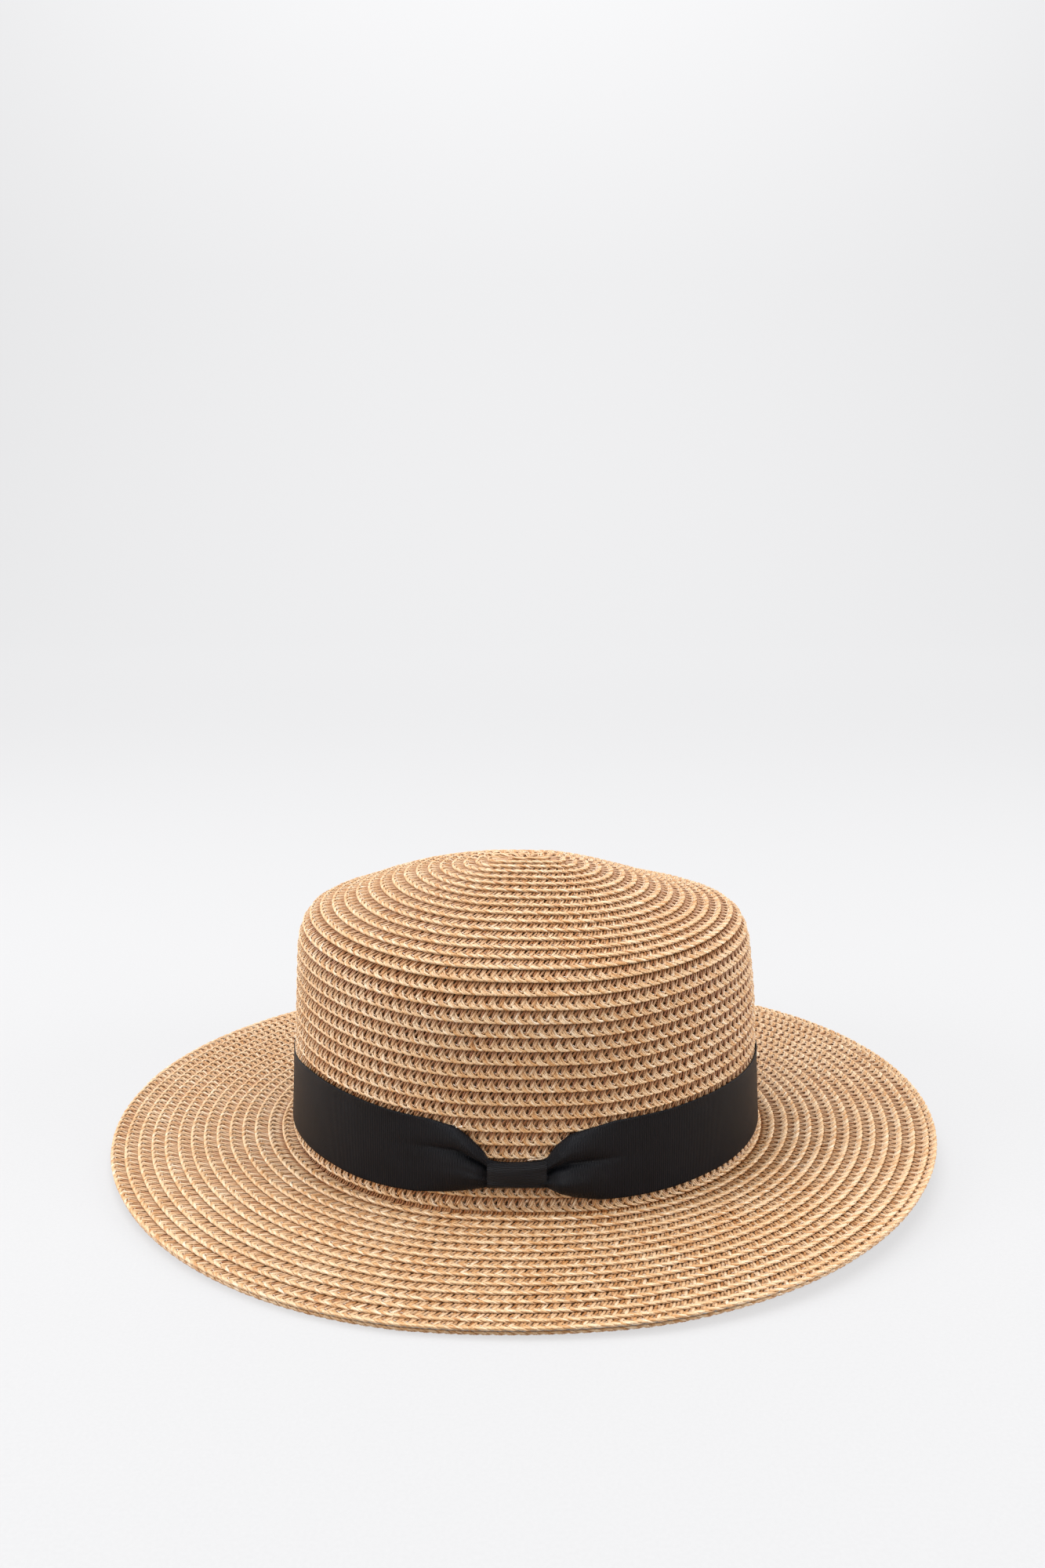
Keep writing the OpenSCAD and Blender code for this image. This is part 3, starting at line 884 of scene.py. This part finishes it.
def sweatband():
    n, m = 300, 33
    T = np.linspace(0, 2 * PI, n + 1)[:-1]
    v = np.linspace(0, 1, m)[None, :]
    h0, h1 = -1.2, 26.8
    ripple = 0.5 * np.sin(T * 7)[:, None] * v ** 2 + 0.35 * np.sin(T * 17 + 1)[:, None] * v ** 3
    H = h0 + (h1 - h0) * v + 0.25 * np.sin(T * 11)[:, None] * v
    # a turned hem at each edge
    hem = 0.28 * np.exp(-((v - 0.03) / 0.035) ** 2) + 0.30 * np.exp(-((v - 0.965) / 0.04) ** 2)
    gap = -3.6 - 0.4 * smooth((v - 0.3) / 0.7)
    Tg = np.repeat(T[:, None], m, 1)
    outer = side_point(Tg, H, gap + ripple * 0.5 + hem * 0.3 + 0.3)
    inner = side_point(Tg, H, gap + ripple * 0.5 - hem - 0.3)
    mid = side_point(T, np.full(n, 12.0), np.full(n, -3.6))
    ln = np.concatenate([[0], np.cumsum(np.linalg.norm(np.diff(mid, axis=0), axis=1))])
    lng = np.repeat(ln[:, None], m, 1)
    ob = shell("sweatband_tape", inner, outer, {"len": lng, "wid": np.repeat(v * 28.0, n, 0)}, TAPE, "hat", "sweatband", True)
    # stitches along the lower hem
    V, F, L, base = [], [], [], 0
    k = 88
    for i in range(k):
        tc = 2 * PI * (i + 0.5) / k
        ts = np.linspace(-1, 1, 9)
        dT = 1.85 / 86.0
        oo = -3.95 - 0.28 * np.sqrt(np.clip(1 - ts ** 4, 0, 1))
        P = side_point(tc + ts * dT, np.full(9, 1.8), oo)
        a, f = tube(P, np.tile([0, 0, 1.0], (9, 1)), 0.26, 0.22, 7)
        V.append(a)
        F.append(f + base)
        L.append(np.repeat(ts * 1.8, 7))
        base += len(a)
    ob = make_mesh("sweatband_stitches", np.concatenate(V) * MM, np.concatenate(F), {"len": np.concatenate(L), "wid": np.concatenate(L) * 0})
    ob.data.materials.append(STITCH)
    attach(ob, "hat")
    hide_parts("sweatband_stitching")


sweatband()


def label():
    """Blank woven label, sewn at one edge; it lies in the plane of its CAD plate with a soft curl."""
    lo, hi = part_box("care_label")
    lo, hi = np.array(lo) * 1000, np.array(hi) * 1000
    z0, z1 = lo[2], hi[2]
    ang = math.radians(15.0)
    d = np.array([-math.sin(ang), math.cos(ang)])
    nrm = np.array([math.cos(ang), math.sin(ang)])
    start = np.array([hi[0] - 0.25, lo[1] + 0.1])
    n, m = 35, 21
    u = np.linspace(0, 1, n)[:, None]
    w = np.linspace(0, 1, m)[None, :]
    curl = -1.1 * u ** 2.2 * (0.6 + 0.4 * w) + 0.25 * np.sin(u * 7) * u
    X = start[0] + d[0] * u * 34.0 + nrm[0] * curl
    Y = start[1] + d[1] * u * 34.0 + nrm[1] * curl
    Z = z0 + (z1 - z0) * w + 0 * u
    mid = np.stack([X + 0 * w, Y + 0 * w, Z], -1)
    off = np.array([nrm[0], nrm[1], 0.0])
    a = mid + off * 0.14
    b = mid - off * 0.14
    lng = np.repeat(u * 34.0, m, 1)
    wid = np.repeat(w * 20.0, n, 0)
    mat = ribbed_material("label_satin", srgb(226, 224, 218), srgb(242, 241, 237), 0.5, 0.03, 0.42, 0.2)
    ob = shell("blank_label", a, b, {"len": lng, "wid": wid}, mat, "label", "care_label", False)
    return ob


label()

# ------------------------------------------------------------------ floor and light
def floor():
    m, nt, bsdf = new_mat("studio_paper")
    noise = node(nt, "ShaderNodeTexNoise", in_Scale=900.0, in_Detail=2.0)
    tc = node(nt, "ShaderNodeTexCoord")
    nt.links.new(tc.outputs["Object"], noise.inputs["Vector"])
    col = ramp(nt, noise.outputs[0], [(0.3, (0.148, 0.148, 0.150, 1)), (0.7, (0.162, 0.162, 0.164, 1))])
    nt.links.new(col, bsdf.inputs["Base Color"])
    bsdf.inputs["Roughness"].default_value = 0.9
    bsdf.inputs["Specular IOR Level"].default_value = 0.05
    # the floor glows (emission) outside the brim's outline, which washes out the shadows cast on it
    sep = nt.nodes.new("ShaderNodeSeparateXYZ")
    nt.links.new(tc.outputs["Object"], sep.inputs[0])
    dist = math_node(nt, "SQRT", math_node(nt, "ADD",
                     math_node(nt, "POWER", math_node(nt, "DIVIDE", sep.outputs[0], 0.1704), 2.0),
                     math_node(nt, "POWER", math_node(nt, "DIVIDE", sep.outputs[1], 0.1594), 2.0)))
    # the glow is cut off inside the brim's outline: a painted contact shadow under the hat
    glow = ramp(nt, math_node(nt, "SUBTRACT", dist, 0.5), [(0.462, (0, 0, 0, 1)), (0.482, (0.99, 0.99, 1.0, 1))])
    nt.links.new(glow, bsdf.inputs["Emission Color"])
    bsdf.inputs["Emission Strength"].default_value = GLOW
    # a sheet that sweeps up behind the hat
    prof = [(-3.0, 0.0)]
    for i in range(13):
        a = PI / 2 * i / 12
        prof.append((2.4 + 1.0 * math.sin(a), 1.0 - 1.0 * math.cos(a)))
    prof.append((3.4, 4.5))
    V, F = [], []
    for i, (y, z) in enumerate(prof):
        V += [(-4.5, y, z), (4.5, y, z)]
        if i:
            b = 2 * (i - 1)
            F.append((b, b + 1, b + 3, b + 2))
    ob = make_mesh("studio_sweep", np.array(V), np.array(F))
    ob.location.z = -0.0002
    ob.data.materials.append(m)
    return ob


GLOW = 0.625
floor()


def area_light(name, loc, target, size, power, colour=(1, 1, 1)):
    d = bpy.data.lights.new(name, "AREA")
    d.shape = "RECTANGLE"
    d.size, d.size_y = size
    d.energy = power
    d.color = colour
    o = bpy.data.objects.new(name, d)
    scene.collection.objects.link(o)
    o.location = loc
    o.rotation_euler = (Vector(target) - Vector(loc)).to_track_quat("-Z", "Y").to_euler()
    return o


area_light("overhead", (-0.08, 0.05, 1.35), (0, 0.0, 0.0), (1.1, 1.1), 16.2)
area_light("side_left", (-1.2, -0.30, 0.55), (0, 0, 0.07), (0.7, 0.7), 14.5)
area_light("side_right", (1.2, -0.30, 0.55), (0, 0, 0.07), (0.7, 0.7), 12.5)
area_light("backdrop", (0, 1.9, 2.5), (0, 3.4, 0.9), (3.0, 0.6), 70.0)
world = bpy.data.worlds.new("studio")
world.use_nodes = True
world.node_tree.nodes["Background"].inputs[0].default_value = (1, 1, 1, 1)
world.node_tree.nodes["Background"].inputs[1].default_value = 0.50
scene.world = world
scene.view_settings.view_transform = "Standard"
scene.view_settings.look = "None"

# ------------------------------------------------------------------ end
print("LENGTH m", LENGTH / 1000, "Q_EDGE", Q_EDGE, "tris", sum(len(o.data.polygons) * 2 for o in straw), "pieces", len(straw))
